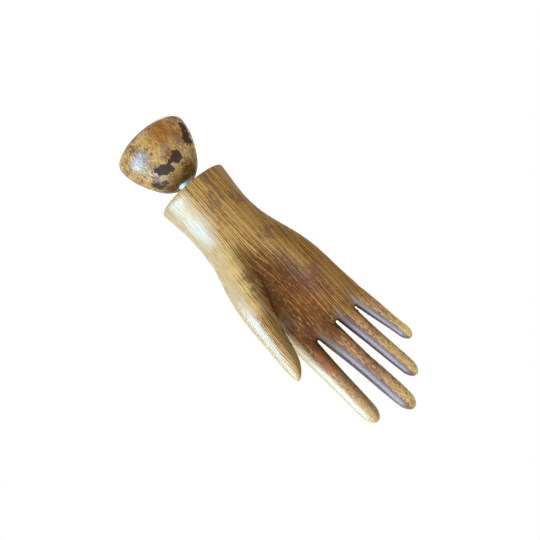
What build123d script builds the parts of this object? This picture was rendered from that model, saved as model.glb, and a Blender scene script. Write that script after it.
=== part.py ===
from build123d import *
import os
from dataclasses import dataclass
from math import copysign, cos, radians, sin, sqrt

# Carved wooden hand on a turned domed stand, joined by a ball at the wrist.
# Millimetres. Z is up along the stud, the palm faces -Y and the thumb is on +X.
# The origin is under the middle of the felt.

# Stand
FELT_RADIUS = 25.5
FELT_THICKNESS = 1.5
DOME_RADIUS = 32.0
DOME_HEIGHT = 44.5
DOME_EDGE_ROUND = 5.0
DOME_SHOULDER_RADIUS = 25.0
DOME_SHOULDER_HEIGHT = 28.5
DOME_TOP_RADIUS = 10.5
RECESS_DEPTH = 23.0
BALLAST_RADIUS = 21.5
BALLAST_THICKNESS = 10.5
BALLAST_FIT = 0.15

# Stud, its ball and what clamps it in the stand
BALL_RADIUS = 9.0
NECK_RADIUS = 3.4
SHOULDER_RADIUS = 5.6
SHOULDER_THICKNESS = 2.0
SHANK_RADIUS = 4.0
SHANK_FIT = 0.05
SHANK_END = 1.2
COLLAR_RADIUS = 6.3
COLLAR_THICKNESS = 1.2
WASHER_RADIUS = 9.0
WASHER_THICKNESS = 1.6
SPRING_RADIUS = 8.0
SPRING_GAUGE = 0.8
SPRING_RISE = 0.7
NUT_FLATS = 13.0
NUT_THICKNESS = 6.5
NUT_BEVEL = 0.6
EDGE_BREAK = 0.4

# Wrist joint
NECK_GAP = 7.4
BALL_DEPTH = 9.0
JOINT_FIT = 0.06
CUP_WALL = 1.5
CUP_RIM = 2.5
PLATE_RADIUS = 19.0
PLATE_THICKNESS = 5.0
PLATE_FIT = 0.15
FLARE_RADIUS = 10.2
FLARE_TOP_RADIUS = 5.2
SCREW_COUNT = 3
SCREW_CIRCLE_RADIUS = 15.0
SCREW_RADIUS = 1.6
SCREW_HEAD_RADIUS = 3.1
SCREW_HEAD_DEPTH = 1.9
SCREW_LENGTH = 16.0
SCREW_POINT_RADIUS = 0.2
SCREW_SLOT_WIDTH = 0.8
SCREW_SLOT_DEPTH = 0.9
SCREW_FIT = 0.03

# Hand
HAND_OFFSET = -1.3
PALM_LENGTH = 154.5
WRIST_ROUND = 1.6
FINGER_DEPTH_RATIO = 0.95
ROOT_LENGTH = 28.0
ROOT_SINK = 1.5
ROOT_NARROWING = 0.3
WEB_FLARE = 0.75
WEB_FLARE_POWER = 6
NOSE_LENGTH = 34.0
NOSE_DEPTH = 15.0
THUMB_SEAM_ROUND = 6.0
OUTLINE_POINTS = 16
CREST_PLACE = 0.6
TIP_LENGTH_RATIO = 1.7

# Heights that follow from the sizes above
DOME_TOP = FELT_THICKNESS + DOME_HEIGHT
SHOULDER_TOP = DOME_TOP + COLLAR_THICKNESS + SHOULDER_THICKNESS
WRIST_END = DOME_TOP + NECK_GAP
BALL_CENTRE = WRIST_END + BALL_DEPTH
RECESS_TOP = FELT_THICKNESS + RECESS_DEPTH
BALLAST_UNDER = RECESS_TOP - BALLAST_THICKNESS
WASHER_UNDER = BALLAST_UNDER - WASHER_THICKNESS
SPRING_UNDER = WASHER_UNDER - SPRING_GAUGE - SPRING_RISE
NUT_UNDER = SPRING_UNDER - NUT_THICKNESS
BORE_RADIUS = SHANK_RADIUS + SHANK_FIT
CUP_INSIDE = BALL_RADIUS + JOINT_FIT
CUP_OUTSIDE = CUP_INSIDE + CUP_WALL
SOCKET_RADIUS = CUP_OUTSIDE + JOINT_FIT

ON_FLOOR = (Align.CENTER, Align.CENTER, Align.MIN)


@dataclass
class PalmSlice:
    """One level of the palm: how far it reaches to each side, back and front."""

    level: float
    ulnar: float
    radial: float
    back: float
    heel: float
    hollow: float
    ball: float
    squareness: float


@dataclass
class ThumbSlice:
    """One level of the thumb and the swelling at its root."""

    level: float
    x: float
    y: float
    half_width: float
    half_depth: float


@dataclass
class Finger:
    """A finger from the web line: place, lean, length, radii and forward curl."""

    x: float
    y: float
    lean: float
    length: float
    web_radius: float
    tip_radius: float
    curl: float


PALM = [
    PalmSlice(0.00, -30.6, 31.8, 30.5, 30.5, 30.5, 30.5, 2.00),
    PalmSlice(0.14, -28.6, 28.8, 26.0, 26.0, 26.0, 26.0, 2.00),
    PalmSlice(0.28, -29.2, 28.2, 22.0, 22.6, 22.8, 25.0, 2.05),
    PalmSlice(0.42, -34.8, 29.8, 19.2, 21.2, 19.0, 26.5, 2.20),
    PalmSlice(0.57, -42.0, 29.5, 17.0, 19.2, 12.5, 21.0, 2.35),
    PalmSlice(0.72, -45.6, 25.5, 14.6, 16.0, 8.6, 12.5, 2.50),
    PalmSlice(0.86, -47.8, 24.0, 12.6, 10.4, 7.0, 7.8, 2.50),
    PalmSlice(1.00, -48.6, 22.5, 8.2, 5.2, 4.8, 4.8, 2.40),
]

THUMB = [
    ThumbSlice(0.18, 7.0, 2.0, 15.0, 20.0),
    ThumbSlice(0.34, 11.5, -4.5, 16.2, 18.8),
    ThumbSlice(0.50, 18.0, -12.8, 15.6, 16.8),
    ThumbSlice(0.65, 24.4, -20.8, 13.2, 14.4),
    ThumbSlice(0.79, 28.2, -26.6, 10.2, 11.6),
    ThumbSlice(0.90, 30.1, -29.6, 8.5, 9.8),
    ThumbSlice(0.99, 32.1, -31.0, 6.7, 8.2),
]
THUMB_TIP = ThumbSlice(1.070, 36.6, -31.5, 0.0, 0.0)

FINGERS = [
    Finger(15.5, 0.6, 2.5, 82.0, 9.1, 7.3, 4.5),
    Finger(-5.4, 1.2, 7.3, 93.4, 9.3, 7.2, 7.0),
    Finger(-26.0, 0.6, 7.8, 75.0, 8.2, 6.3, 6.5),
    Finger(-43.2, -0.8, 10.8, 50.4, 7.2, 5.2, 5.0),
]


def round_tip(half_width, half_depth, length):
    """Half an ellipsoid that stands on the XY plane."""
    return scale(Sphere(1, arc_size1=0, align=ON_FLOOR), by=(half_width, half_depth, length))


def palm_slice(s):
    """Closed outline of the palm at one level: an oval, hollowed between heel and ball."""
    middle = (s.ulnar + s.radial) / 2
    half = (s.radial - s.ulnar) / 2
    points = []
    for i in range(OUTLINE_POINTS):
        turn = radians(360 * i / OUTLINE_POINTS)
        across = copysign(abs(cos(turn)) ** (2 / s.squareness), cos(turn))
        deep = abs(sin(turn)) ** (2 / s.squareness)
        if sin(turn) >= 0:
            y = s.back * deep
        else:
            side = s.ball if across > 0 else s.heel
            rise = sin(radians(90) * min(abs(across) / CREST_PLACE, 1)) ** 2
            y = -(s.hollow + (side - s.hollow) * rise) * deep
        points.append((middle + half * across, y))
    return Plane((0, 0, s.level * PALM_LENGTH)) * make_face(Spline(*points, periodic=True))


def palm():
    """The wrist and palm, with the end between the fingers rounded from back to front."""
    shape = loft([palm_slice(s) for s in PALM])
    shape = shape.fillet(WRIST_ROUND, shape.edges().group_by(Axis.Z)[0])
    start = PALM_LENGTH - NOSE_LENGTH
    low_side = (Align.MIN, Align.CENTER, Align.MIN)
    nose = extrude(Plane.YZ * Ellipse(NOSE_DEPTH, NOSE_LENGTH), 2 * PALM_LENGTH)
    block = Box(2 * PALM_LENGTH, 3 * NOSE_DEPTH, 2 * NOSE_LENGTH, align=low_side)
    return shape - Pos(-PALM_LENGTH, 0, start) * (block - nose)


def thumb():
    slices = []
    for s in THUMB:
        plane = Plane((s.x, s.y, s.level * PALM_LENGTH), x_dir=(0, 1, 0))
        slices.append(plane * Ellipse(s.half_depth, s.half_width))
    return loft(slices + [Vertex(THUMB_TIP.x, THUMB_TIP.y, THUMB_TIP.level * PALM_LENGTH)])


def palm_with_thumb():
    """Palm and thumb made one, with the seam between them rounded out."""
    flat, swelling = palm(), thumb()
    shape = flat.fuse(swelling)
    seam = [e for e in shape.edges() if on_both(e, flat, swelling)]
    return shape.fillet(THUMB_SEAM_ROUND, seam)


def on_both(edge, one, other):
    """True for an edge where the skins of two fused shapes meet."""
    point = Vertex(*(edge @ 0.5))
    return all(min(f.distance_to(point) for f in shape.faces()) < 0.001 for shape in (one, other))


def finger(f):
    """A tapering finger with a rounded tip, wider at the web; its root narrows and sinks into the palm."""
    tip_length = f.tip_radius * TIP_LENGTH_RATIO
    straight = f.length - tip_length
    sections = []
    for part in (0, 0.25, 0.5, 0.75, 1):
        along = part * (straight + ROOT_LENGTH) - ROOT_LENGTH
        run = max(along, 0) / straight
        root = max(-along, 0) / ROOT_LENGTH
        radius = f.web_radius * (1 - ROOT_NARROWING * root) + (f.tip_radius - f.web_radius) * run
        half_width = radius + WEB_FLARE * (1 - run) ** WEB_FLARE_POWER
        y = ROOT_SINK * root**2 - f.curl * run**2
        sections.append(Plane((0, y, along)) * Ellipse(half_width, radius * FINGER_DEPTH_RATIO))
    tip = round_tip(f.tip_radius, f.tip_radius * FINGER_DEPTH_RATIO, tip_length)
    shape = loft(sections) + Location((0, -f.curl, straight)) * tip
    return Location((f.x, f.y, PALM_LENGTH)) * Rotation(0, -f.lean, 0) * shape


def dome_base():
    """Turned half-egg: bored for the stud and recessed underneath for the ballast."""
    foot = DOME_RADIUS - DOME_EDGE_ROUND
    widest = FELT_THICKNESS + DOME_EDGE_ROUND
    under = Line((0, FELT_THICKNESS), (foot, FELT_THICKNESS))
    edge = TangentArc(under @ 1, (DOME_RADIUS, widest), tangent=(1, 0))
    side = Spline(edge @ 1, (DOME_SHOULDER_RADIUS, FELT_THICKNESS + DOME_SHOULDER_HEIGHT),
                  (DOME_TOP_RADIUS, DOME_TOP), tangents=[(0, 1), (-2, 1)])
    top = Polyline(side @ 1, (0, DOME_TOP), under @ 0)
    shape = revolve(Plane.XZ * make_face(under + edge + side + top), Axis.Z)
    recess = Cylinder(BALLAST_RADIUS + BALLAST_FIT, RECESS_DEPTH, align=ON_FLOOR)
    bore = Cylinder(BORE_RADIUS, DOME_TOP, align=ON_FLOOR)
    return shape - Pos(0, 0, FELT_THICKNESS) * recess - bore


def ring(outer, inner, thickness, z):
    return Pos(0, 0, z) * (
        Cylinder(outer, thickness, align=ON_FLOOR) - Cylinder(inner, thickness, align=ON_FLOOR)
    )


def base_felt():
    return Cylinder(FELT_RADIUS, FELT_THICKNESS, align=ON_FLOOR)


def ballast_disc():
    disc = ring(BALLAST_RADIUS, BORE_RADIUS, BALLAST_THICKNESS, BALLAST_UNDER)
    return chamfer(disc.edges().filter_by(GeomType.CIRCLE).sort_by(Axis.Z)[:2], EDGE_BREAK)


def neck_collar():
    collar = ring(COLLAR_RADIUS, BORE_RADIUS, COLLAR_THICKNESS, DOME_TOP)
    return chamfer(collar.edges().group_by(Axis.Z)[-1].sort_by(SortBy.RADIUS)[-1], EDGE_BREAK)


def clamp_washer():
    return ring(WASHER_RADIUS, BORE_RADIUS, WASHER_THICKNESS, WASHER_UNDER)


def disc_spring():
    """Cone-shaped spring washer: its rim bears on the washer, its bore on the nut."""
    low = SPRING_UNDER
    profile = Polyline(
        (BORE_RADIUS, low),
        (SPRING_RADIUS, low + SPRING_RISE),
        (SPRING_RADIUS, low + SPRING_RISE + SPRING_GAUGE),
        (BORE_RADIUS, low + SPRING_GAUGE),
        close=True,
    )
    return revolve(Plane.XZ * make_face(profile), Axis.Z)


def lock_nut():
    """Hexagon nut with its corners turned off top and bottom."""
    hexagon = extrude(RegularPolygon(NUT_FLATS / 2, 6, major_radius=False), NUT_THICKNESS)
    corner = NUT_FLATS / sqrt(3)
    turned = Cylinder(corner, NUT_THICKNESS, align=ON_FLOOR)
    turned = chamfer(turned.edges().filter_by(GeomType.CIRCLE), NUT_BEVEL / 2, NUT_BEVEL)
    bore = Cylinder(BORE_RADIUS, NUT_THICKNESS, align=ON_FLOOR)
    return Pos(0, 0, NUT_UNDER) * ((hexagon & turned) - bore)


def ball_stud():
    """One turned piece: ball, neck, shoulder and shank."""
    ball = Pos(0, 0, BALL_CENTRE) * Sphere(BALL_RADIUS)
    neck = Cylinder(NECK_RADIUS, BALL_CENTRE - SHOULDER_TOP, align=ON_FLOOR)
    shoulder_low = DOME_TOP + COLLAR_THICKNESS
    shoulder = Cylinder(SHOULDER_RADIUS, SHOULDER_THICKNESS, align=ON_FLOOR)
    shoulder = fillet(shoulder.edges().group_by(Axis.Z)[-1], SHOULDER_THICKNESS / 3)
    shank_low = NUT_UNDER - SHANK_END
    shank = Cylinder(SHANK_RADIUS, shoulder_low - shank_low, align=ON_FLOOR)
    shank = chamfer(shank.edges().group_by(Axis.Z)[0], EDGE_BREAK)
    turned = Pos(0, 0, shank_low) * shank + Pos(0, 0, shoulder_low) * shoulder
    return turned + Pos(0, 0, SHOULDER_TOP) * neck + ball


def friction_cup():
    """Part of a hollow ball over the top of the stud's ball."""
    shell = Sphere(CUP_OUTSIDE) - Sphere(CUP_INSIDE)
    keep = Pos(0, 0, CUP_RIM) * Cylinder(2 * CUP_OUTSIDE, 2 * CUP_OUTSIDE, align=ON_FLOOR)
    return Pos(0, 0, BALL_CENTRE) * (shell & keep)


def screw_places():
    return PolarLocations(SCREW_CIRCLE_RADIUS, SCREW_COUNT, start_angle=90)


def screw(fit=0.0):
    """Countersunk wood screw, head down at the wrist end; with a fit, the space that takes it."""
    head = Cone(SCREW_HEAD_RADIUS + fit, SCREW_RADIUS + fit, SCREW_HEAD_DEPTH, align=ON_FLOOR)
    straight = SCREW_LENGTH - SCREW_RADIUS
    shank = Cylinder(SCREW_RADIUS + fit, straight, align=ON_FLOOR)
    point = Cone(SCREW_RADIUS + fit, SCREW_POINT_RADIUS + fit, SCREW_RADIUS, align=ON_FLOOR)
    return head + shank + Pos(0, 0, straight) * point


def plate_screws():
    slot = Box(3 * SCREW_HEAD_RADIUS, SCREW_SLOT_WIDTH, SCREW_SLOT_DEPTH, align=ON_FLOOR)
    one = screw() - slot
    return Compound([Pos(0, 0, WRIST_END) * place * one for place in screw_places()])


def retaining_plate():
    """Plate that keeps the ball in: round seat above, flared opening below for the neck."""
    plate = Cylinder(PLATE_RADIUS, PLATE_THICKNESS, align=ON_FLOOR)
    seat = Pos(0, 0, BALL_DEPTH) * Sphere(CUP_INSIDE)
    flare = Cone(FLARE_RADIUS, FLARE_TOP_RADIUS, PLATE_THICKNESS, align=ON_FLOOR)
    plate = plate - seat - flare
    for place in screw_places():
        plate = plate - place * screw(SCREW_FIT)
    return Pos(0, 0, WRIST_END) * plate


def carved_hand():
    """The one carved piece, with the socket, plate recess and screw holes in its wrist."""
    hand = Pos(HAND_OFFSET, 0, 0) * palm_with_thumb().fuse(*[finger(f) for f in FINGERS])
    recess = Cylinder(PLATE_RADIUS + PLATE_FIT, PLATE_THICKNESS, align=ON_FLOOR)
    entry = Cylinder(SOCKET_RADIUS, BALL_DEPTH, align=ON_FLOOR)
    socket = Pos(0, 0, BALL_DEPTH) * Sphere(SOCKET_RADIUS)
    holes = [place * screw(SCREW_FIT) for place in screw_places()]
    return Pos(0, 0, WRIST_END) * hand.cut(recess, entry, socket, *holes)


os.makedirs("parts", exist_ok=True)
export_step(dome_base(), "parts/dome_base.step")
export_step(base_felt(), "parts/base_felt.step")
export_step(ballast_disc(), "parts/ballast_disc.step")
export_step(clamp_washer(), "parts/clamp_washer.step")
export_step(disc_spring(), "parts/disc_spring.step")
export_step(lock_nut(), "parts/lock_nut.step")
export_step(neck_collar(), "parts/neck_collar.step")
export_step(ball_stud(), "parts/ball_stud.step")
export_step(friction_cup(), "parts/friction_cup.step")
export_step(retaining_plate(), "parts/retaining_plate.step")
export_step(plate_screws(), "parts/plate_screws.step")
export_step(carved_hand(), "parts/carved_hand.step")
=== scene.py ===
import math

import bmesh
import bpy
from mathutils import Matrix, Vector


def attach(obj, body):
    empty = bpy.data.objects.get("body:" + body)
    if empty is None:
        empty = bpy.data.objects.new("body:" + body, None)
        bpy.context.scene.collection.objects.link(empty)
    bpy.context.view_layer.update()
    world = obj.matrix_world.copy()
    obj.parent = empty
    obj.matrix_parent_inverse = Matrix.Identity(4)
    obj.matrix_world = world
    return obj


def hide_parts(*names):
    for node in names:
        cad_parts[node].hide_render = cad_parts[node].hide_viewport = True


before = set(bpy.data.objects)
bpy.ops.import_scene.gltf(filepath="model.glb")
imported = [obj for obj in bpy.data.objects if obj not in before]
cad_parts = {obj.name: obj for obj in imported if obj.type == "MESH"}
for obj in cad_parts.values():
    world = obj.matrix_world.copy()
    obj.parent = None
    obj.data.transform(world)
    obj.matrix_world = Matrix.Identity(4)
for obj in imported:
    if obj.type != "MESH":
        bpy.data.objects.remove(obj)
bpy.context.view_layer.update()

# Carved display hand on a domed stand. Metres, in the frame of the solids.
MM = 0.001
ORIGIN = Vector((0, 0, 0))
UP = Vector((0, 0, 1))

# Sizes repeated from the solids
WRIST_END = 53.4 * MM
POCKET_RADIUS = 19.15 * MM
POCKET_DEPTH = 5.0 * MM
BALL_HEIGHT = 62.4 * MM
SOCKET_RADIUS = 10.62 * MM
SCREW_CIRCLE = 15.0 * MM
SCREW_HOLE_RADIUS = 1.63 * MM
SCREW_REACH = 16.0 * MM
FELT_RADIUS = 25.5 * MM
FELT_THICKNESS = 1.5 * MM
FELT_EDGE = 0.45 * MM

# The carved skin: a vertex counts as creased where its neighbours lie above it by this part of a cell
SKIN_CELL = 0.9 * MM
CARVED_FROM = WRIST_END + 12 * MM
FILL_ROUNDS = 7
FILL_SLACK = 0.02
HEEL_TOP = 140 * MM
HEEL_FILL_ROUNDS = 24
HEEL_FILL_SLACK = 0.003
FILL_STEPS = 6
EVEN_STEPS = 9
SMOOTH = 0.5
SWELL_BACK = -0.52
CREASE_STEPS = 40
CREASE_DEPTH = 0.6 * MM
SHARP_FROM = math.radians(38)
EVERY_WAY = {"use_axis_x": True, "use_axis_y": True, "use_axis_z": True}


def linear(code):
    """sRGB hex colour to linear RGBA."""
    parts = [int(code[i:i + 2], 16) / 255 for i in (1, 3, 5)]
    return (*[c / 12.92 if c <= 0.04045 else ((c + 0.055) / 1.055) ** 2.4 for c in parts], 1.0)


def add(tree, kind, inputs=None, **settings):
    """Adds a node; an input is a value or the socket that it is linked from."""
    node = tree.nodes.new("ShaderNode" + kind)
    for name, value in settings.items():
        setattr(node, name, value)
    for name, value in (inputs or {}).items():
        if isinstance(value, bpy.types.NodeSocket):
            tree.links.new(value, node.inputs[name])
        else:
            node.inputs[name].default_value = value
    return node


def new_material(name):
    material = bpy.data.materials.new(name)
    material.use_nodes = True
    material.node_tree.nodes.clear()
    return material, material.node_tree


def new_piece(name, bm, material):
    mesh = bpy.data.meshes.new(name)
    bm.to_mesh(mesh)
    bm.free()
    piece = bpy.data.objects.new(name, mesh)
    bpy.context.scene.collection.objects.link(piece)
    mesh.materials.append(material)
    return piece


def keep_shape(piece):
    """Bakes the piece's modifiers into its mesh."""
    graph = bpy.context.evaluated_depsgraph_get()
    old = piece.data
    piece.data = bpy.data.meshes.new_from_object(piece.evaluated_get(graph))
    piece.modifiers.clear()
    bpy.data.meshes.remove(old)


# Places on the object that the finishes refer to, as points or as points and radii
PALM_MIDDLE = Vector((-1, -8, 174)) * MM
PALM_REACH = Vector((34, 28, 58)) * MM
TIPS = [Vector(p) * MM for p in (
    (10.7, -4.0, 287.0), (-17.8, -6.0, 298.5), (-37.4, -6.0, 281.0), (-53.6, -6.0, 255.0),
    (34.0, -31.5, 218.0))]
FINGERS_LOW = 200 * MM
FINGERS_HIGH = 225 * MM
# Between these heights painted shade darkens the base towards the neck
NECK_SHADE_LOW = 28 * MM
NECK_SHADE_HIGH = 46 * MM
RING_WIDTH = 1.45 * MM
RING_NORMAL = Vector((0.98, 0.20, 0))


def spots(*marks):
    """Points and radii in metres from rows of x, y, z and radius in millimetres."""
    return [(Vector(mark[:3]) * MM, mark[3] * MM) for mark in marks]


RUBBED = spots((-7.4, -24.8, 78, 3.6), (-10, -26, 69.5, 3.2), (-11, -27, 58, 4.0), (-23, -16, 79.5, 3.2),
               (-24, -14, 86, 3.0), (-23, -18, 119, 4.5), (12.5, -30, 137, 3.2), (14, -31, 144, 2.4),
               (-29, -14, 166, 5.0), (20, 22, 84, 4.0), (10, 20, 120, 5.0), (-20, 16, 175, 5.0))
# Painted light: pale gold patches on the ball of the thumb
LIT_PATCHES = spots((15, -26, 112, 7.0), (16, -28, 126, 8.0), (17, -32, 142, 8.0), (20, -35, 156, 6.0))
STAINED = spots((9.6, -7.0, 220.6, 5.0), (10.1, -7.4, 230.6, 4.5))
# Painted shade in the crotch of the thumb
CROTCH_SHADE = spots((14, -9, 172, 5.0), (14, -7, 179, 5.0), (15, -6, 185, 4.0), (20, -13, 174, 5.0))
VARNISHED = spots((-11.4, -29.7, 10, 12.0), (-24, -18, 16, 8.0), (14, 26, 14, 9.0))
SCUFFED = spots((-3.7, -28.7, 21.9, 3.0), (2, -27, 26, 2.4), (-17.5, -23, 21.8, 3.0), (9, -29, 18, 2.0),
                (-16, -21, 31, 2.6), (6, -25, 30, 2.2), (-20, 22, 14, 3.0), (18, 20, 24, 2.6))
FLAKES = spots((-6.3, -23.4, 31.3, 4.8), (4.6, -23.0, 32.5, 5.2), (9.0, -23.0, 30.0, 3.6),
               (17.4, -11.3, 36.9, 3.8), (13.0, -13.7, 39.2, 3.2), (-24.5, -14.8, 22.8, 5.6),
               (-27.5, -14.0, 15.0, 4.2), (22.0, 20.0, 12.0, 3.6), (-4.0, 25.5, 26.0, 4.0))


# Materials. Socket numbers of the colour Mix node: 0 factor, 6 first colour, 7 second, output 2.

def drawn_noise(tree, place, across, along, detail):
    """Noise drawn out along the hand, in cells of the given size in millimetres, four times as deep."""
    scale = (1 / (across * MM), 1 / (4 * across * MM), 1 / (along * MM))
    at = add(tree, "Mapping", {"Vector": place, "Scale": scale})
    return add(tree, "TexNoise", {"Vector": at.outputs[0], "Scale": 1.0, "Detail": detail,
                                  "Roughness": 0.6}).outputs[0]


def patches(tree, place, marks, ragged, reach, soft):
    """1 inside any of the marks and 0 outside. The ragged noise moves their edges in and out by a part of
    reach, and the edges fade over soft."""
    mask = None
    for spot, radius in marks:
        gap = add(tree, "VectorMath", {0: place, 1: spot}, operation="DISTANCE").outputs["Value"]
        edge = add(tree, "Math", {0: ragged, 1: reach, 2: gap}, operation="MULTIPLY_ADD").outputs[0]
        rim = radius + reach / 2
        inside = add(tree, "MapRange", {0: edge, 1: rim - soft, 2: rim + soft, 3: 1.0, 4: 0.0}).outputs[0]
        mask = add(tree, "Math", {0: mask, 1: inside}, operation="MAXIMUM").outputs[0] if mask else inside
    return mask


def grained_lacquer():
    """Gold lacquer grained in brown over a carved hand, worn to bare brown in the palm.
    Fine long lines run with the fingers, and the tips are rubbed pale."""
    material, tree = new_material("grained_lacquer_on_limewood")
    place = add(tree, "TexCoord").outputs["Object"]
    # A slow drift of 1.5 mm bends the lines a little
    drift = add(tree, "TexNoise", {"Vector": place, "Scale": 1 / (30 * MM), "Detail": 1.0})
    bent = add(tree, "VectorMath", {0: drift.outputs["Color"], 1: (0.5, 0.5, 0.5)}, operation="SUBTRACT")
    shifted = add(tree, "VectorMath", {0: bent.outputs[0], 1: (3 * MM, 3 * MM, 0), 2: place},
                  operation="MULTIPLY_ADD").outputs[0]
    # Grain lines 1.5 mm apart: the edges of flat growth rings, which wander by a few rings. Broader lines,
    # a little under three rings apart, lie over the fine ones
    across = add(tree, "VectorMath", {0: shifted, 1: RING_NORMAL / RING_WIDTH}, operation="DOT_PRODUCT")
    wander = drawn_noise(tree, place, 9, 90, 1.0)
    levels = add(tree, "Math", {0: wander, 1: 4.0, 2: across.outputs["Value"]}, operation="MULTIPLY_ADD")
    fine = add(tree, "Math", {0: levels.outputs[0], 1: 0.5}, operation="PINGPONG").outputs[0]
    third = add(tree, "Math", {0: levels.outputs[0], 1: 0.37}, operation="MULTIPLY").outputs[0]
    broad = add(tree, "Math", {0: third, 1: 0.5}, operation="PINGPONG").outputs[0]
    ridge = add(tree, "Mix", {0: 0.38, 2: fine, 3: broad}, data_type="FLOAT").outputs[0]
    # Short flecks, dashes and streaks, clouds of more and less gold, and the noise for ragged edges
    flecks = drawn_noise(tree, shifted, 0.8, 3.0, 2.0)
    dashes = drawn_noise(tree, shifted, 0.5, 5.0, 0.0)
    streaks = drawn_noise(tree, shifted, 0.8, 20, 1.0)
    clouds = drawn_noise(tree, place, 13, 30, 5.0)
    ragged = drawn_noise(tree, place, 3, 8, 4.0)
    # How far the palm is worn: most in the hollow, fading out towards the heel and the fingers
    to_palm = add(tree, "VectorMath", {0: place, 1: PALM_MIDDLE}, operation="SUBTRACT")
    squeezed = add(tree, "VectorMath", {0: to_palm.outputs[0], 1: PALM_REACH}, operation="DIVIDE")
    palm_far = add(tree, "VectorMath", {0: squeezed.outputs[0]}, operation="LENGTH")
    palm_rough = add(tree, "Math", {0: clouds, 1: 0.6, 2: palm_far.outputs["Value"]},
                     operation="MULTIPLY_ADD")
    palm = add(tree, "MapRange", {0: palm_rough.outputs[0], 1: 0.70, 2: 1.60, 3: 1.0, 4: 0.0},
               interpolation_type="SMOOTHSTEP").outputs[0]
    # The fingers; painted light on the side of the wrist and thumb that faces the window, paler where the
    # light falls on it, and on the ball of the thumb; and how near the closest fingertip is
    axes = add(tree, "SeparateXYZ", {0: place})
    fingers = add(tree, "MapRange", {0: axes.outputs["Z"], 1: FINGERS_LOW, 2: FINGERS_HIGH,
                                     3: 0.0, 4: 1.0}).outputs[0]
    facing = add(tree, "Attribute", attribute_name="side").outputs["Fac"]
    flank = add(tree, "MapRange", {0: facing, 1: 0.05, 2: 0.50, 3: 0.0, 4: 1.0}).outputs[0]
    inner = add(tree, "MapRange", {0: axes.outputs["X"], 1: -4 * MM, 2: 8 * MM, 3: 1.0, 4: 0.0}).outputs[0]
    outer = add(tree, "Math", {0: 1.0, 1: inner}, operation="SUBTRACT").outputs[0]
    edge = add(tree, "MapRange", {0: facing, 1: 0.05, 2: 0.75, 3: 0.0, 4: 1.0}).outputs[0]
    window_lit_side = add(tree, "Math", {0: edge, 1: outer}, operation="MULTIPLY").outputs[0]
    lit_patches = patches(tree, place, LIT_PATCHES, ragged, 8 * MM, 5 * MM)
    painted_lit_side = add(tree, "Math", {0: window_lit_side, 1: lit_patches}, operation="MAXIMUM").outputs[0]
    nearest = None
    for tip in TIPS:
        gap = add(tree, "VectorMath", {0: place, 1: tip}, operation="DISTANCE").outputs["Value"]
        nearest = add(tree, "Math", {0: nearest, 1: gap}, operation="MINIMUM").outputs[0] if nearest else gap
    near_tip = add(tree, "MapRange", {0: nearest, 1: 4 * MM, 2: 34 * MM, 3: 1.0, 4: 0.0},
                   interpolation_type="SMOOTHSTEP").outputs[0]
    pale = add(tree, "Math", {0: near_tip, 1: painted_lit_side}, operation="MAXIMUM").outputs[0]
    # Gold lies between the lines: speckled on the fingers, thinner under a low cloud and in the palm, and
    # gone from the side of each finger that faces the next one
    gap_side = add(tree, "Math", {0: flank, 1: inner}, operation="MULTIPLY").outputs[0]
    rubbed_side = add(tree, "Math", {0: gap_side, 1: fingers}, operation="MULTIPLY").outputs[0]
    speckle = add(tree, "Math", {0: fingers, 1: 0.75}, operation="MULTIPLY").outputs[0]
    amount = add(tree, "Mix", {0: speckle, 2: ridge, 3: flecks}, data_type="FLOAT").outputs[0]
    for part, share in ((flecks, 0.24), (clouds, 0.34), (palm, -0.31), (fingers, -0.31), (pale, 0.10),
                        (window_lit_side, 0.24), (lit_patches, -0.02), (rubbed_side, -0.36)):
        amount = add(tree, "Math", {0: part, 1: share, 2: amount}, operation="MULTIPLY_ADD").outputs[0]
    kept = add(tree, "MapRange", {0: amount, 1: 0.38, 2: 0.45, 3: 0.0, 4: 1.0},
               interpolation_type="SMOOTHSTEP").outputs[0]
    front = add(tree, "Math", {0: 1.0, 1: flank}, operation="SUBTRACT").outputs[0]
    left = add(tree, "MapRange", {0: dashes, 1: 0.65, 2: 0.71, 3: 0.0, 4: front}).outputs[0]
    gold = add(tree, "Math", {0: kept, 1: left}, operation="MAXIMUM").outputs[0]
    # Colours, from the ground up: brown, then gold with painted glints on its crests, darker towards the
    # little finger, and painted light on the thumb's side
    ground = add(tree, "Mix", {0: clouds, 6: linear("#42280C"), 7: linear("#6A4418")}, data_type="RGBA")
    streaked = add(tree, "Mix", {0: 0.5, 2: clouds, 3: streaks}, data_type="FLOAT").outputs[0]
    worn_mix = add(tree, "MapRange", {0: streaked, 1: 0.38, 2: 0.62, 3: 0.0, 4: 1.0}).outputs[0]
    worn_tone = add(tree, "Mix", {0: worn_mix, 6: linear("#684632"), 7: linear("#925A24")}, data_type="RGBA")
    bare = add(tree, "Math", {0: fingers, 1: palm}, operation="MAXIMUM").outputs[0]
    bared = add(tree, "Mix", {0: bare, 6: ground.outputs[2], 7: worn_tone.outputs[2]}, data_type="RGBA")
    thin = add(tree, "Math", {0: pale, 1: 0.3}, operation="MULTIPLY").outputs[0]
    worn = add(tree, "Mix", {0: thin, 6: bared.outputs[2], 7: linear("#92703C")}, data_type="RGBA")
    mottle = add(tree, "Mix", {0: 0.5, 2: clouds, 3: flecks}, data_type="FLOAT").outputs[0]
    mottled = add(tree, "MapRange", {0: mottle, 1: 0.38, 2: 0.62, 3: 0.0, 4: 1.0}).outputs[0]
    gold_tone = add(tree, "Mix", {0: mottled, 6: linear("#A4721E"), 7: linear("#D8AA4C")}, data_type="RGBA")
    palm_tone = add(tree, "Mix", {0: bare, 6: gold_tone.outputs[2], 7: linear("#C89A58")}, data_type="RGBA")
    tip_tone = add(tree, "Mix", {0: near_tip, 6: palm_tone.outputs[2], 7: linear("#CEB268")},
                   data_type="RGBA")
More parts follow.
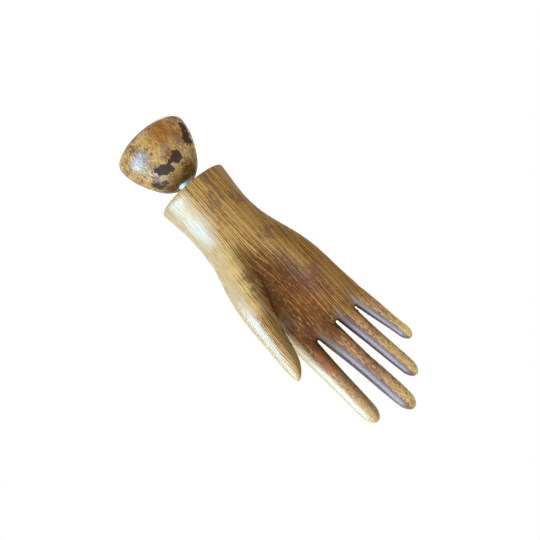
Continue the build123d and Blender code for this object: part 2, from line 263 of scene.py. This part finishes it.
    # Painted glints: paler gold on the crests of the grain
    glint = add(tree, "MapRange", {0: amount, 1: 0.54, 2: 0.68, 3: 0.0, 4: 0.9}).outputs[0]
    glinted = add(tree, "Mix", {0: glint, 6: tip_tone.outputs[2], 7: linear("#E2C688")}, data_type="RGBA")
    little_side = add(tree, "MapRange", {0: axes.outputs["X"], 1: -32 * MM, 2: 6 * MM, 3: 0.8, 4: 0.0}).outputs[0]
    little_side_part = add(tree, "MapRange", {0: bare, 1: 0.0, 2: 1.0, 3: little_side, 4: 0.0}).outputs[0]
    darker_little_side = add(tree, "Mix", {0: little_side_part, 6: glinted.outputs[2], 7: linear("#845812")}, data_type="RGBA")
    # Painted light: pale gold on the ball of the thumb
    lit_gold = add(tree, "Mix", {0: lit_patches, 6: darker_little_side.outputs[2], 7: linear("#EACC86")}, data_type="RGBA")
    # Painted light: the side that faces the window is washed cream, more so on the fingers
    wash = add(tree, "MapRange", {0: fingers, 1: 0.0, 2: 1.0, 3: 0.62, 4: 0.85}).outputs[0]
    window_lit_wash = add(tree, "Math", {0: window_lit_side, 1: wash}, operation="MULTIPLY").outputs[0]
    striped = add(tree, "Mix", {0: gold, 6: worn.outputs[2], 7: lit_gold.outputs[2]}, data_type="RGBA")
    evened = add(tree, "Mix", {0: rubbed_side, 6: striped.outputs[2], 7: linear("#7A5436")}, data_type="RGBA")
    lit_washed = add(tree, "Mix", {0: window_lit_wash, 6: evened.outputs[2], 7: linear("#CCB886")}, data_type="RGBA")
    # Thin dark lines in the bottom of the grain, broken where a streak crosses them, and fainter on the
    # ball of the thumb
    broken = add(tree, "Math", {0: streaks, 1: 0.45, 2: fine}, operation="MULTIPLY_ADD").outputs[0]
    thread = add(tree, "MapRange", {0: broken, 1: 0.22, 2: 0.32, 3: 0.9, 4: 0.0}).outputs[0]
    coated = add(tree, "Math", {0: 1.0, 1: bare}, operation="SUBTRACT").outputs[0]
    clear = add(tree, "Math", {0: lit_patches, 1: -0.3, 2: coated}, operation="MULTIPLY_ADD").outputs[0]
    threads = add(tree, "Math", {0: thread, 1: clear}, operation="MULTIPLY").outputs[0]
    lined = add(tree, "Mix", {0: threads, 6: lit_washed.outputs[2], 7: linear("#3E240A")}, data_type="RGBA")
    # Patches rubbed through to purple brown, most of them at the wrist, and an orange stain on the forefinger
    rubbed = patches(tree, place, RUBBED, ragged, 34 * MM, 0.8 * MM)
    rubbed_part = add(tree, "Math", {0: rubbed, 1: 0.7}, operation="MULTIPLY")
    patched = add(tree, "Mix", {0: rubbed_part.outputs[0], 6: lined.outputs[2], 7: linear("#74503C")},
                  data_type="RGBA")
    stain = patches(tree, place, STAINED, ragged, 20 * MM, 2.5 * MM)
    stain_part = add(tree, "Math", {0: stain, 1: 0.85}, operation="MULTIPLY")
    stained = add(tree, "Mix", {0: stain_part.outputs[0], 6: patched.outputs[2], 7: linear("#BA7016")},
                  data_type="RGBA")
    # Painted shade: the inner side of the thumb and forefinger, turned away from the window, is darkened
    # brown
    turned = add(tree, "MapRange", {0: facing, 1: -0.05, 2: -0.55, 3: 0.0, 4: 0.7}).outputs[0]
    inner_shade = add(tree, "Math", {0: turned, 1: outer}, operation="MULTIPLY").outputs[0]
    shade_browned = add(tree, "Mix", {0: inner_shade, 6: stained.outputs[2], 7: linear("#5E4020")}, data_type="RGBA")
    # Painted shade darkens the creases, the hollows between the fingers and the crotch of the thumb
    hollow = add(tree, "Attribute", attribute_name="crease").outputs["Fac"]
    crease = add(tree, "MapRange", {0: hollow, 1: 0.3, 2: 0.9, 3: 0.0, 4: 1.0}).outputs[0]
    open_to = add(tree, "AmbientOcclusion", {"Distance": 20 * MM}, samples=8, only_local=True).outputs["AO"]
    occlusion_shade = add(tree, "MapRange", {0: open_to, 1: 0.40, 2: 0.95, 3: 1.0, 4: 0.0}).outputs[0]
    crotch = patches(tree, place, CROTCH_SHADE, ragged, 4 * MM, 6 * MM)
    crotch_part = add(tree, "Math", {0: crotch, 1: 0.75}, operation="MULTIPLY").outputs[0]
    dark_part = add(tree, "Math", {0: crotch_part, 1: occlusion_shade}, operation="MAXIMUM").outputs[0]
    painted_shade = add(tree, "Math", {0: crease, 1: dark_part}, operation="MAXIMUM").outputs[0]
    shade_in_creases = add(tree, "Mix", {0: painted_shade, 6: shade_browned.outputs[2], 7: linear("#2C1706")}, data_type="RGBA")
    # The grain shows in relief, most of all in the varnish and hardly on the fingers, which are glossiest.
    # The palm has lost its varnish
    rough = add(tree, "MapRange", {0: gold, 1: 0.0, 2: 1.0, 3: 0.56, 4: 0.46})
    cut = add(tree, "MapRange", {0: fingers, 1: 0.0, 2: 1.0, 3: 0.6, 4: 0.1}).outputs[0]
    bump = add(tree, "Bump", {"Height": ridge, "Strength": cut, "Distance": 0.12 * MM})
    film = add(tree, "Bump", {"Height": ridge, "Strength": cut, "Distance": 0.25 * MM})
    glossy = add(tree, "MapRange", {0: fingers, 1: 0.0, 2: 1.0, 3: 0.32, 4: 1.0}).outputs[0]
    varnish = add(tree, "MapRange", {0: palm, 1: 0.0, 2: 1.0, 3: glossy, 4: 0.0})
    skin = add(tree, "BsdfPrincipled", {
        "Base Color": shade_in_creases.outputs[2], "Roughness": rough.outputs[0], "Normal": bump.outputs[0],
        "IOR": 1.5, "Specular IOR Level": 0.06, "Coat Weight": varnish.outputs[0],
        "Coat Roughness": 0.38, "Coat IOR": 1.5, "Coat Normal": film.outputs[0]})
    add(tree, "OutputMaterial", {"Surface": skin.outputs[0]})
    return material


def chipped_lacquer():
    """The same lacquer on the turned base: speckled rather than lined, orange towards one side of its
    foot, with flakes gone down to near-black old ground."""
    material, tree = new_material("chipped_lacquer_on_turned_limewood")
    place = add(tree, "TexCoord").outputs["Object"]
    speck = drawn_noise(tree, place, 0.5, 2.6, 3.0)
    clouds = add(tree, "TexNoise", {"Vector": place, "Scale": 1 / (9 * MM), "Detail": 4.0}).outputs[0]
    push = add(tree, "Math", {0: clouds, 1: 0.6, 2: speck}, operation="MULTIPLY_ADD")
    gold = add(tree, "MapRange", {0: push.outputs[0], 1: 0.73, 2: 0.87, 3: 0.0, 4: 1.0},
               interpolation_type="SMOOTHSTEP")
    speckled = add(tree, "Mix", {0: gold.outputs[0], 6: linear("#7A5422"), 7: linear("#DEBE78")},
                   data_type="RGBA")
    ragged = add(tree, "TexNoise", {"Vector": place, "Scale": 1 / (5 * MM), "Detail": 4.0,
                                    "Roughness": 0.6}).outputs[0]
    # Orange varnish run down one side, painted shade darkening it towards the neck, and patches rubbed to
    # purple
    orange = patches(tree, place, VARNISHED, ragged, 14 * MM, 5 * MM)
    orange_part = add(tree, "Math", {0: orange, 1: 0.6}, operation="MULTIPLY")
    varnished = add(tree, "Mix", {0: orange_part.outputs[0], 6: speckled.outputs[2], 7: linear("#B0721A")},
                    data_type="RGBA")
    height = add(tree, "SeparateXYZ", {0: place}).outputs["Z"]
    neck_shade = add(tree, "MapRange", {0: height, 1: NECK_SHADE_LOW, 2: NECK_SHADE_HIGH,
                                       3: 0.0, 4: 0.7}).outputs[0]
    shade_browned = add(tree, "Mix", {0: neck_shade, 6: varnished.outputs[2], 7: linear("#4E3418")},
                  data_type="RGBA")
    rubbed = patches(tree, place, SCUFFED, ragged, 16 * MM, 0.6 * MM)
    rubbed_part = add(tree, "Math", {0: rubbed, 1: 0.6}, operation="MULTIPLY")
    patched = add(tree, "Mix", {0: rubbed_part.outputs[0], 6: shade_browned.outputs[2], 7: linear("#A07C78")},
                  data_type="RGBA")
    # Flakes, some of them down to grey
    flaked = patches(tree, place, FLAKES, ragged, 14 * MM, 0.3 * MM)
    under = add(tree, "Mix", {0: clouds, 6: linear("#33261C"), 7: linear("#5C5048")}, data_type="RGBA")
    chipped = add(tree, "Mix", {0: flaked, 6: patched.outputs[2], 7: under.outputs[2]}, data_type="RGBA")
    rough = add(tree, "MapRange", {0: flaked, 1: 0.0, 2: 1.0, 3: 0.34, 4: 0.7})
    varnish = add(tree, "MapRange", {0: flaked, 1: 0.0, 2: 1.0, 3: 0.25, 4: 0.0})
    sunk = add(tree, "Math", {0: flaked, 1: -1.0, 2: speck}, operation="MULTIPLY_ADD")
    bump = add(tree, "Bump", {"Height": sunk.outputs[0], "Strength": 0.3, "Distance": 0.25 * MM})
    skin = add(tree, "BsdfPrincipled", {
        "Base Color": chipped.outputs[2], "Roughness": rough.outputs[0], "Normal": bump.outputs[0],
        "IOR": 1.5, "Specular IOR Level": 0.04, "Coat Weight": varnish.outputs[0], "Coat Roughness": 0.24,
        "Coat IOR": 1.5})
    add(tree, "OutputMaterial", {"Surface": skin.outputs[0]})
    return material


def turned_metal(name, dark, light, roughness, ring):
    """Metal finished on a lathe: fine rings of slightly different height and tone round the stud's axis.
    The rings are drawn wider than a real tool leaves them, so that they show."""
    material, tree = new_material(name)
    place = add(tree, "TexCoord").outputs["Object"]
    rings_at = add(tree, "Mapping", {"Vector": place, "Scale": (1 / (18 * MM), 1 / (18 * MM), 1 / ring)})
    rings = add(tree, "TexNoise", {"Vector": rings_at.outputs[0], "Scale": 1.0, "Detail": 2.0})
    stain = add(tree, "TexNoise", {"Vector": place, "Scale": 1 / (4 * MM), "Detail": 4.0})
    mixed = add(tree, "Math", {0: rings.outputs[0], 1: stain.outputs[0]}, operation="MULTIPLY")
    tone = add(tree, "MapRange", {0: mixed.outputs[0], 1: 0.12, 2: 0.40, 3: 0.0, 4: 1.0})
    colour = add(tree, "Mix", {0: tone.outputs[0], 6: linear(dark), 7: linear(light)}, data_type="RGBA")
    rough = add(tree, "MapRange", {0: stain.outputs[0], 1: 0.3, 2: 0.7, 3: roughness + 0.12, 4: roughness})
    bump = add(tree, "Bump", {"Height": rings.outputs[0], "Strength": 0.25, "Distance": 0.1 * MM})
    skin = add(tree, "BsdfPrincipled", {"Base Color": colour.outputs[2], "Roughness": rough.outputs[0],
                                        "Normal": bump.outputs[0], "Metallic": 1.0})
    add(tree, "OutputMaterial", {"Surface": skin.outputs[0]})
    return material


def cast_iron():
    """Cast iron as it leaves the sand: dark grey, dull, with a 1 mm sandy grain and some rust."""
    material, tree = new_material("sand_cast_iron")
    place = add(tree, "TexCoord").outputs["Object"]
    sand = add(tree, "TexNoise", {"Vector": place, "Scale": 1 / (1.0 * MM), "Detail": 3.0})
    rust = add(tree, "TexNoise", {"Vector": place, "Scale": 1 / (9 * MM), "Detail": 4.0})
    rusty = add(tree, "MapRange", {0: rust.outputs[0], 1: 0.52, 2: 0.68, 3: 0.0, 4: 0.7})
    colour = add(tree, "Mix", {0: rusty.outputs[0], 6: linear("#3A3A3C"), 7: linear("#5A3A28")},
                 data_type="RGBA")
    bump = add(tree, "Bump", {"Height": sand.outputs[0], "Strength": 0.5, "Distance": 0.3 * MM})
    skin = add(tree, "BsdfPrincipled", {"Base Color": colour.outputs[2], "Roughness": 0.7,
                                        "Normal": bump.outputs[0], "Metallic": 0.6})
    add(tree, "OutputMaterial", {"Surface": skin.outputs[0]})
    return material


def pressed_felt():
    """Pressed wool felt: matt green, tufts lying every way, some paler. The tufts are drawn 0.8 mm wide,
    coarser than real fibres, so that they show."""
    material, tree = new_material("pressed_wool_felt")
    place = add(tree, "TexCoord").outputs["Object"]
    matted = add(tree, "TexNoise", {"Vector": place, "Scale": 1 / (0.8 * MM), "Detail": 4.0,
                                    "Roughness": 0.7, "Distortion": 2.0})
    colour = add(tree, "Mix", {0: matted.outputs[0], 6: linear("#1E3023"), 7: linear("#4A6650")},
                 data_type="RGBA")
    bump = add(tree, "Bump", {"Height": matted.outputs[0], "Strength": 0.6, "Distance": 0.3 * MM})
    skin = add(tree, "BsdfPrincipled", {
        "Base Color": colour.outputs[2], "Roughness": 0.95, "Normal": bump.outputs[0],
        "Specular IOR Level": 0.15, "Sheen Weight": 0.4, "Sheen Roughness": 0.5})
    add(tree, "OutputMaterial", {"Surface": skin.outputs[0]})
    return material


# The hand

def closed_hand():
    """Copy of the hand's solid with its socket, recess and screw holes closed over."""
    bm = bmesh.new()
    bm.from_mesh(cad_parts["carved_hand"].data)
    bmesh.ops.remove_doubles(bm, verts=bm.verts, dist=0.001 * MM)
    top = BALL_HEIGHT + SOCKET_RADIUS + MM
    inside = [f for f in bm.faces
              if all(v.co.xy.length < POCKET_RADIUS + 0.1 * MM and v.co.z < top for v in f.verts)]
    bmesh.ops.delete(bm, geom=inside, context="FACES")
    bmesh.ops.holes_fill(bm, edges=[e for e in bm.edges if e.is_boundary], sides=0)
    return bm


def soften(piece):
    """Fills the creases where fingers, thumb and palm meet, most of all where the thumb leaves the wrist,
    then evens the whole carved skin, each time swelling it back so that it doesn't shrink."""
    bm = bmesh.new()
    bm.from_mesh(piece.data)
    carved = [v for v in bm.verts if v.co.z > CARVED_FROM]
    heel = [v for v in carved if v.co.z < HEEL_TOP]
    everywhere = [(carved, FILL_SLACK)] * FILL_ROUNDS
    for reach, slack in everywhere + [(heel, HEEL_FILL_SLACK)] * HEEL_FILL_ROUNDS:
        bm.normal_update()
        creased = []
        for v in reach:
            middle = sum((e.other_vert(v).co for e in v.link_edges), Vector()) / len(v.link_edges)
            if (middle - v.co).dot(v.normal) > slack * SKIN_CELL:
                creased.append(v)
        for _ in range(FILL_STEPS):
            bmesh.ops.smooth_vert(bm, verts=creased, factor=SMOOTH, **EVERY_WAY)
    for _ in range(EVEN_STEPS):
        bmesh.ops.smooth_vert(bm, verts=carved, factor=SMOOTH, **EVERY_WAY)
        bmesh.ops.smooth_vert(bm, verts=carved, factor=SWELL_BACK, **EVERY_WAY)
    bm.to_mesh(piece.data)
    bm.free()


# The material paints shade into the hollows and light onto the side that faces the window from these marks
def mark_hollows_and_sides(piece):
    """Stores how hollow the skin is at each vertex, which is how far a much smoothed copy lies above it,
    and how far the skin faces the thumb's side."""
    bm = bmesh.new()
    bm.from_mesh(piece.data)
    start = [v.co.copy() for v in bm.verts]
    normals = [v.normal.copy() for v in bm.verts]
    for _ in range(CREASE_STEPS):
        bmesh.ops.smooth_vert(bm, verts=bm.verts, factor=SMOOTH, **EVERY_WAY)
    piece.data.attributes.new("crease", "FLOAT", "POINT")
    piece.data.attributes.new("side", "FLOAT", "POINT")
    crease, side = (piece.data.attributes[name].data for name in ("crease", "side"))
    for v, co, normal in zip(bm.verts, start, normals):
        crease[v.index].value = min(max((v.co - co).dot(normal) / CREASE_DEPTH, 0.0), 1.0)
        side[v.index].value = normal.x
    bm.free()


def socket_cutter():
    """Turned shape of the plate's recess and the ball's socket."""
    bm = bmesh.new()
    low = WRIST_END - MM
    seat = WRIST_END + POCKET_DEPTH
    steps = [(0, low), (POCKET_RADIUS, low), (POCKET_RADIUS, seat), (SOCKET_RADIUS, seat),
             (SOCKET_RADIUS, BALL_HEIGHT)]
    line = [bm.verts.new((r, 0, z)) for r, z in steps]
    for a, b in zip(line, line[1:]):
        bm.edges.new((a, b))
    bmesh.ops.spin(bm, geom=[line[-1]], cent=(0, 0, BALL_HEIGHT), axis=(0, -1, 0),
                   angle=math.radians(90), steps=16)
    bmesh.ops.spin(bm, geom=bm.verts[:] + bm.edges[:], cent=ORIGIN, axis=UP, angle=math.tau, steps=72,
                   use_merge=True)
    bmesh.ops.remove_doubles(bm, verts=bm.verts, dist=0.001 * MM)
    bmesh.ops.recalc_face_normals(bm, faces=bm.faces)
    return bm


def screw_cutter():
    """Three pilot holes behind the plate."""
    bm = bmesh.new()
    low = WRIST_END + POCKET_DEPTH - MM
    high = WRIST_END + SCREW_REACH
    for k in range(3):
        turn = Matrix.Rotation(math.radians(90 + 120 * k), 4, "Z")
        place = turn @ Matrix.Translation((SCREW_CIRCLE, 0, (low + high) / 2))
        bmesh.ops.create_cone(bm, cap_ends=True, segments=20, radius1=SCREW_HOLE_RADIUS,
                              radius2=SCREW_HOLE_RADIUS, depth=high - low, matrix=place)
    return bm


def carved_hand():
    """The hand's visible skin, with the socket, the recess and the screw holes cut into it again."""
    material = grained_lacquer()
    hand = new_piece("lacquered_hand", closed_hand(), material)
    skin = hand.modifiers.new("even_skin", "REMESH")
    skin.mode = "VOXEL"
    skin.voxel_size = SKIN_CELL
    keep_shape(hand)
    soften(hand)
    for cutter in (new_piece("cut_socket", socket_cutter(), material),
                   new_piece("cut_screws", screw_cutter(), material)):
        cut = hand.modifiers.new("cut", "BOOLEAN")
        cut.operation = "DIFFERENCE"
        cut.solver = "EXACT"
        cut.object = cutter
        keep_shape(hand)
        bpy.data.objects.remove(cutter)
    mark_hollows_and_sides(hand)
    hand.data.shade_smooth()
    hand.data.set_sharp_from_angle(angle=SHARP_FROM)
    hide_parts("carved_hand")
    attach(hand, "hand")


def felt_disc():
    """Felt under the base, its cut edge rounded a little by wear."""
    bm = bmesh.new()
    bmesh.ops.create_cone(bm, cap_ends=True, segments=96, radius1=FELT_RADIUS, radius2=FELT_RADIUS,
                          depth=FELT_THICKNESS, matrix=Matrix.Translation((0, 0, FELT_THICKNESS / 2)))
    rims = [e for e in bm.edges if len({round(v.co.z, 6) for v in e.verts}) == 1]
    bmesh.ops.bevel(bm, geom=rims, offset=FELT_EDGE, offset_type="OFFSET", segments=3, profile=0.5,
                    affect="EDGES", material=-1)
    felt = new_piece("felt_disc", bm, pressed_felt())
    felt.data.shade_smooth()
    felt.data.set_sharp_from_angle(angle=SHARP_FROM)
    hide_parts("base_felt")
    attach(felt, "base")


def finish(material, *nodes):
    for node in nodes:
        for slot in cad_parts[node].material_slots:
            slot.material = material


carved_hand()
felt_disc()
finish(chipped_lacquer(), "dome_base")
finish(turned_metal("turned_mild_steel", "#A4A2A0", "#DAD8D6", 0.66, 0.5 * MM), "ball_stud", "neck_collar")
finish(turned_metal("turned_brass", "#8A6A30", "#C6A25A", 0.28, 0.6 * MM), "retaining_plate", "friction_cup")
finish(turned_metal("zinc_plated_steel", "#7C7D80", "#A9ABAE", 0.36, 0.4 * MM),
       "plate_screws", "clamp_washer", "disc_spring", "lock_nut")
finish(cast_iron(), "ballast_disc")


# Floor, light and camera
FLOOR_WHITE = 0.88
SKY_LEVEL = 0.30
LENS = 34.88
EYE_DISTANCE = 420 * MM
EYE_TARGET = Vector((-5.0, 0.0, 142.58)) * MM
EYE_TURN = math.radians(2.57)
EYE_TILT = math.radians(0.52)
EYE_ROLL = math.radians(138.5)


def studio():
    new_piece("floor", floor_plane(), floor_paint())
    middle = Vector((0, 0, 0.16))
    foot = Vector((0, 0, 0.05))
    window = aim(area_light("window", 1.15, 0.95, 6.2, "#FFFFFF"), Vector((0.76, -0.30, 0.40)), middle)
    window.visible_glossy = False
    # The bright panes and the sky low over the sill, which the lacquer mirrors without more light on the wood
    panes = aim(area_light("window_panes", 0.40, 0.80, 18.0, "#84C4FF"), Vector((0.42, -0.17, 0.20)), middle)
    panes.visible_diffuse = False
    sill = aim(area_light("window_sill", 0.60, 0.16, 16.0, "#74C0FF"), Vector((0.45, -0.24, 0.06)), foot)
    sill.visible_diffuse = False
    aim(area_light("fill", 0.9, 0.9, 4.4, "#FFFFFF"), Vector((-0.35, -0.95, 0.60)), middle)
    world_light()


def area_light(name, width, height, energy, colour):
    """Lamp of the given size in metres and power in watts."""
    light = bpy.data.lights.new(name, "AREA")
    light.shape = "RECTANGLE"
    light.size, light.size_y = width, height
    light.energy = energy
    light.color = linear(colour)[:3]
    return light


def aim(light, place, target):
    """Puts the light at a place and turns it to the target."""
    lamp = bpy.data.objects.new(light.name, light)
    bpy.context.scene.collection.objects.link(lamp)
    lamp.location = place
    lamp.rotation_euler = (target - place).to_track_quat("-Z", "Y").to_euler()
    lamp.visible_camera = False
    return lamp


def floor_plane():
    bm = bmesh.new()
    bmesh.ops.create_grid(bm, x_segments=1, y_segments=1, size=6.0)
    return bm


def seen_directly(tree):
    """1 where the camera sees the background, also mirrored or through something clear."""
    path = add(tree, "LightPath")
    mirrored = add(tree, "Math", {0: path.outputs["Is Camera Ray"], 1: path.outputs["Is Glossy Ray"]},
                   operation="MAXIMUM")
    return add(tree, "Math", {0: mirrored.outputs[0], 1: path.outputs["Is Transmission Ray"]},
               operation="MAXIMUM").outputs[0]


def floor_paint():
    """White studio paint that keeps the object's shadow."""
    material, tree = new_material("white_floor_paint")
    paint = add(tree, "BsdfDiffuse", {"Color": (FLOOR_WHITE, FLOOR_WHITE, FLOOR_WHITE, 1)})
    seen = seen_directly(tree)
    glow = add(tree, "Math", {0: seen, 1: 1 - FLOOR_WHITE * SKY_LEVEL}, operation="MULTIPLY")
    lift = add(tree, "Emission", {"Color": (1, 1, 1, 1), "Strength": glow.outputs[0]})
    both = add(tree, "AddShader", {0: paint.outputs[0], 1: lift.outputs[0]})
    add(tree, "OutputMaterial", {"Surface": both.outputs[0]})
    return material


def world_light():
    """White behind the object, and a dimmer even light on it."""
    world = bpy.data.worlds.new("white_studio")
    bpy.context.scene.world = world
    world.use_nodes = True
    tree = world.node_tree
    tree.nodes.clear()
    seen = seen_directly(tree)
    level = add(tree, "MapRange", {0: seen, 1: 0.0, 2: 1.0, 3: SKY_LEVEL, 4: 1.0})
    sky = add(tree, "Background", {"Color": (1, 1, 1, 1), "Strength": level.outputs[0]})
    add(tree, "OutputWorld", {"Surface": sky.outputs[0]})


def camera():
    """Palm view, level with the hand, rolled so that the fingers point down and to the right."""
    lens = bpy.data.cameras.new("camera")
    lens.sensor_width = 36.0
    lens.sensor_fit = "HORIZONTAL"
    lens.lens = LENS
    turn = Matrix.Rotation(EYE_TURN, 4, "Z") @ Matrix.Rotation(EYE_TILT, 4, "X")
    turn = turn @ Matrix.Rotation(math.radians(90), 4, "X") @ Matrix.Rotation(EYE_ROLL, 4, "Z")
    target = Matrix.Translation(EYE_TARGET)
    eye = bpy.data.objects.new("camera", lens)
    bpy.context.scene.collection.objects.link(eye)
    eye.matrix_world = target @ turn @ Matrix.Translation((0, 0, EYE_DISTANCE))
    bpy.context.scene.camera = eye


studio()
camera()
bpy.context.scene.view_settings.view_transform = "Standard"
